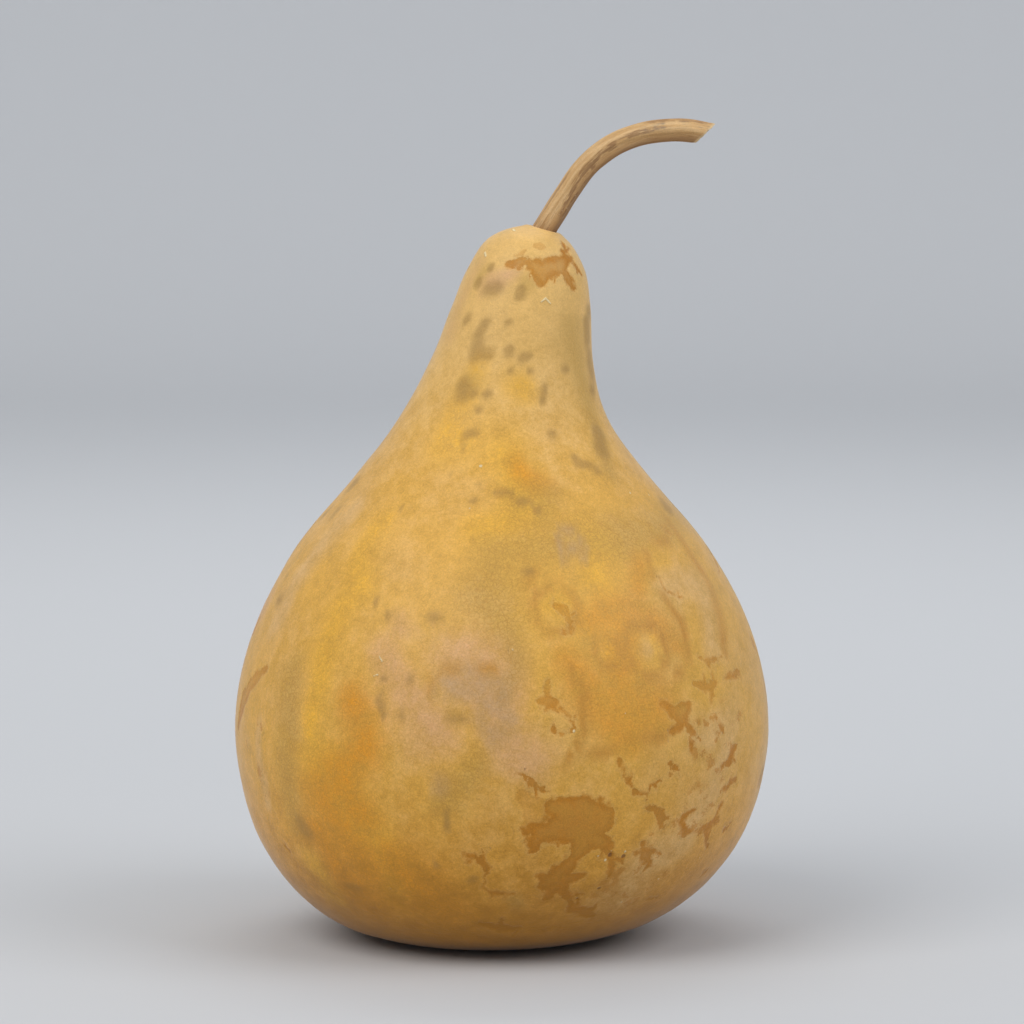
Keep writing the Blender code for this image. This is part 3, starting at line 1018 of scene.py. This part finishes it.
def stem_material(colours):
    """Dry fibrous wood, tan with dark grooves, grey weathering and painted shade on its underside.
    """
    make = Maker("stem_wood")
    grain = make.attribute("stem_grain")
    side, up, way = make.split(grain)
    beyond, from_axis, _ = make.split(make.attribute("stem_end"))
    long_place = make.add("ShaderNodeCombineXYZ", {}, [side, up, way * 0.10])
    fibre = make.noise(long_place, 0.42, 3.0, 0.6)
    strand = make.noise(long_place, 1.3, 3.0, 0.6)
    patch = make.noise(grain, 5.0, 3.0, 0.55)
    fine = make.noise(grain, 0.5, 2.0)
    round_turn = make.add("ShaderNodeMath", {"operation": "ARCTAN2"}, [up, side * -1.0])

    torn = (fibre - 0.5) * 2.6 + (fine - 0.5) * 1.4 + (strand - 0.5) * 1.2
    make.colour = colours.wood
    make.coat(strand.step(0.40, 0.64) * 0.6, colours.wood_pale)
    make.coat(fibre.step(0.50, 0.72) * 0.45, colours.wood_dark)
    wave = (strand - 0.5) * 1.6 + (patch - 0.5) * 0.8
    groove_turn = round_turn - (way - 10.0) * 0.022 + 0.55 + wave
    groove = 1.0 - (groove_turn ** 2.0).step(0.0, 0.12)
    reach = way.step(4.0, 14.0) * (1.0 - way.step(46.0, 64.0))
    streak = (groove * reach + (patch - 0.5) * 1.4 + torn * 0.55).step(0.35, 1.1)
    make.coat(streak * 0.7, colours.wood_dark)
    second = 1.0 - ((round_turn - 1.15 + wave * 0.5) ** 2.0).step(0.0, 0.10)
    reach = (1.0 - way.step(18.0, 32.0)).most(way.step(44.0, 54.0))
    streak = (second * reach + (patch - 0.5) * 1.2 + torn * 0.5).step(0.45, 1.1)
    make.coat(streak * 0.6, colours.wood_dark)
    weather = ((patch - 0.5) * 2.0 + torn * 0.5).step(0.0, 0.6) * way.step(34.0, 50.0)
    weather = weather * (1.0 - ((round_turn - 0.55) ** 2.0).step(0.0, 0.6))
    make.coat(weather * 0.55, colours.wood_grey)
    # Painted shade: the underside of the stem's arch is darkened
    painted_stem_shade = (up * -1.0).step(0.4, 3.4)
    make.coat(painted_stem_shade * (0.7 + torn * 0.35), colours.wood_dark)
    foot = 1.0 - way.step(2.0, 9.0)
    make.coat(foot * (0.30 + torn * 0.4), colours.wood_dark)
    fleck = (fine + (fibre - 0.5) * 0.5).step(0.66, 0.74) * (1.0 - way.step(8.0, 40.0) * 0.7)
    make.coat(fleck * 0.6, colours.pith)
    cut = beyond.step(-0.9, -0.4)
    end = make.mix(fine.step(0.40, 0.70) * 0.5, colours.pith, colours.wood)
    end = make.mix((1.0 - from_axis.step(0.9, 1.7)) * 0.6, end, colours.wood_dark)
    make.coat(cut, end)
    make.colour = make.scaled(make.colour, 1.0 + (fibre - 0.5) * 0.5 + (fine - 0.5) * 0.4)
    roughness = 0.66 + (fibre - 0.5) * 0.2
    height = fibre * 0.16 + strand * 0.2 + fine * 0.05
    make.surface(Base_Color=make.colour, Roughness=roughness, Normal=make.bump(height, 0.9))
    return make.material


class GOURD_OT_stem(bpy.types.Operator):
    """Model the bent dry stem with its slanted cut end"""

    bl_idname = "gourd.stem"
    bl_label = "Stem"

    def execute(self, context):
        scene = context.scene
        stem = raise_stem(scene.stem_shape)
        bend_stem(stem, scene.stem_shape)
        cut_stem(stem)
        grain_stem(stem)
        deselect()
        stem.select_set(True)
        bpy.ops.object.shade_smooth_by_angle(angle=math.radians(50.0))
        stem.data.materials.append(stem_material(scene.gourd_colours))
        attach(stem, "root")
        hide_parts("stem")
        return {"FINISHED"}


# The studio


def add_light(name, place, target, size, watts, colour=(1.0, 1.0, 1.0)):
    """A square soft light that faces the target."""
    light = bpy.data.lights.new(name, "AREA")
    light.size = size
    light.energy = watts
    light.color = colour
    lamp = bpy.data.objects.new(name, light)
    lamp.location = place
    lamp.rotation_mode = "QUATERNION"
    lamp.rotation_quaternion = (Vector(target) - Vector(place)).to_track_quat("-Z", "Y")
    bpy.context.scene.collection.objects.link(lamp)


class GOURD_OT_studio(bpy.types.Operator):
    """Set up the pale floor, the soft lights and the camera"""

    bl_idname = "gourd.studio"
    bl_label = "Studio"

    def execute(self, context):
        scene = context.scene
        studio = scene.gourd_studio
        floor = add_disc("studio_floor", 96, 2.2, (0.0, 0.0, -0.2 * MM))
        for rise, growth in ((0.02, 1.12), (0.08, 1.07), (0.16, 1.05), (0.28, 1.03), (0.7, 1.02)):
            extrude((0.0, 0.0, rise), growth)
        bpy.ops.mesh.delete(type="ONLY_FACE")
        face_all(inside=True)
        bpy.ops.object.mode_set(mode="OBJECT")
        apply_modifier(floor, "SUBSURF", "soft_bend", levels=2, render_levels=2)
        bpy.ops.object.shade_smooth()
        make = Maker("studio_paper")
        make.surface(Base_Color=tuple(studio.floor), Roughness=0.9)
        floor.data.materials.append(make.material)

        world = bpy.data.worlds.new("studio_sky")
        world.use_nodes = True
        sky = world.node_tree.nodes["Background"]
        sky.inputs["Color"].default_value = (0.92, 0.96, 1.0, 1.0)
        sky.inputs["Strength"].default_value = 0.55
        scene.world = world

        target = (0.0, 0.0, 0.12)
        add_light("key_light", (-0.95, -0.95, 1.35), target, 1.2, 17.0, (1.0, 0.98, 0.95))
        add_light("fill_light", (1.3, -0.6, 1.25), target, 1.2, 11.5, (0.97, 0.98, 1.0))
        add_light("wall_light", (0.0, 0.9, 1.7), (0.0, 2.4, 0.3), 1.0, 14.0)

        camera = bpy.data.objects.new("studio_camera", bpy.data.cameras.new("studio_camera"))
        scene.collection.objects.link(camera)
        aim = Vector((3.3, 0.0, 143.3)) * MM
        back = Vector((0.0, -math.cos(studio.elevation), math.sin(studio.elevation)))
        camera.location = aim + back * studio.distance
        camera.rotation_mode = "QUATERNION"
        camera.rotation_quaternion = (-back).to_track_quat("-Z", "Y")
        camera.data.lens = studio.lens
        scene.camera = camera
        scene.view_settings.view_transform = "Standard"
        return {"FINISHED"}


GROUPS = {
    "gourd_shape": GourdShape, "stem_shape": StemShape,
    "gourd_colours": GourdColours, "gourd_studio": GourdStudio,
}
OPERATORS = (GOURD_OT_body, GOURD_OT_stem, GOURD_OT_studio)


class GOURD_PT_panel(bpy.types.Panel):
    """The gourd's steps and settings, in the 3D view's sidebar"""

    bl_idname = "GOURD_PT_panel"
    bl_label = "Dried Gourd"
    bl_space_type = "VIEW_3D"
    bl_region_type = "UI"
    bl_category = "Gourd"

    def draw(self, context):
        for name, group in GROUPS.items():
            box = self.layout.box()
            for setting in group.__annotations__:
                box.prop(getattr(context.scene, name), setting)
        for step in OPERATORS:
            self.layout.operator(step.bl_idname)


CLASSES = (*GROUPS.values(), *OPERATORS, GOURD_PT_panel)


def register():
    for cls in CLASSES:
        bpy.utils.register_class(cls)
    for name, group in GROUPS.items():
        setattr(bpy.types.Scene, name, PointerProperty(type=group))


def unregister():
    for name in GROUPS:
        delattr(bpy.types.Scene, name)
    for cls in reversed(CLASSES):
        bpy.utils.unregister_class(cls)


def main():
    register()
    bpy.ops.gourd.body()
    bpy.ops.gourd.stem()
    bpy.ops.gourd.studio()


if __name__ == "__main__":
    main()
